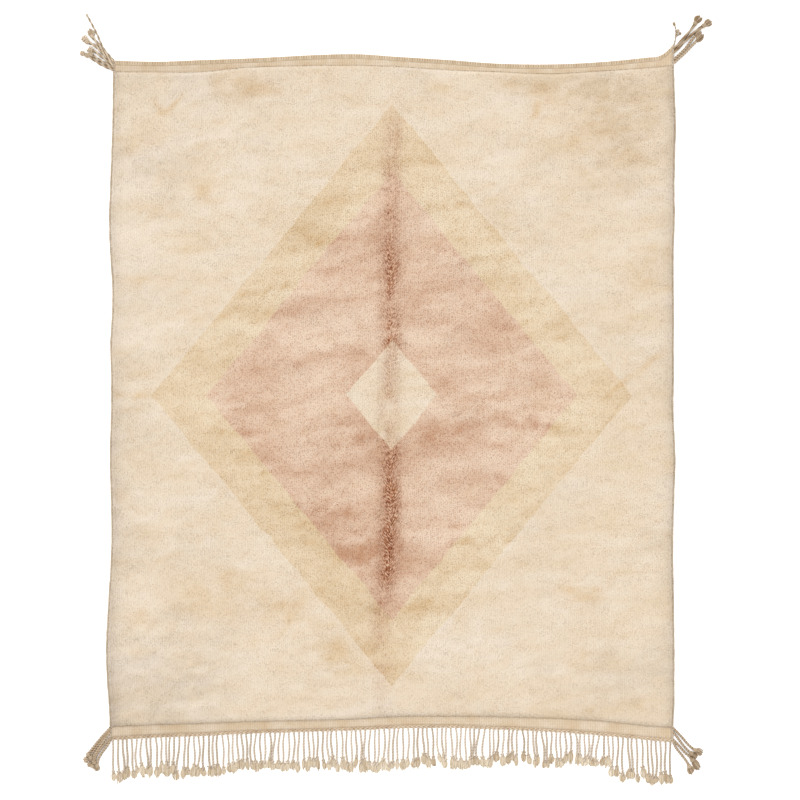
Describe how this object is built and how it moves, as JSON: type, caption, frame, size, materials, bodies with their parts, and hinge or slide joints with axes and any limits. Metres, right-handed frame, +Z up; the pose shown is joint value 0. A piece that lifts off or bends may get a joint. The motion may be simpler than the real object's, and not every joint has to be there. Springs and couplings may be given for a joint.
{
  "type": "beni mrirt rug",
  "caption": "Hand-knotted wool pile rug lying flat, with a nested lozenge field, flat woven ends, a knotted warp fringe at one end and corded corner tassels.",
  "frame": {"origin": "middle of the woven body, on its flat back face", "axes": "+Z up out of the pile, +Y along the warps towards the plain end, with the fringed end towards -Y, +X to the right seen from above"},
  "size_m": [2.8038, 3.4295, 0.027],
  "materials": {
    "wool_pile": "soft hand-spun wool pile in faded cream, tan and dusty rose",
    "flat_weave": "matt flat-woven wool",
    "bound_warps": "matt bound warp yarn",
    "side_cord": "matt overcast wool cord",
    "fringe_yarn": "matt twisted warp yarn",
    "tassel_cord": "matt braided wool cord"
  },
  "bodies": {
    "root": {"pile_field": "wool_pile", "end_band_plain": "flat_weave", "end_band_fringed": "flat_weave", "ribbed_end_roll": "bound_warps", "selvedge_left": "side_cord", "selvedge_right": "side_cord", "twined_fringe": "fringe_yarn", "tassel_top_left": "tassel_cord", "tassel_top_right": "tassel_cord", "tassel_low_left": "tassel_cord", "tassel_low_right": "tassel_cord"}
  },
  "joints": []
}
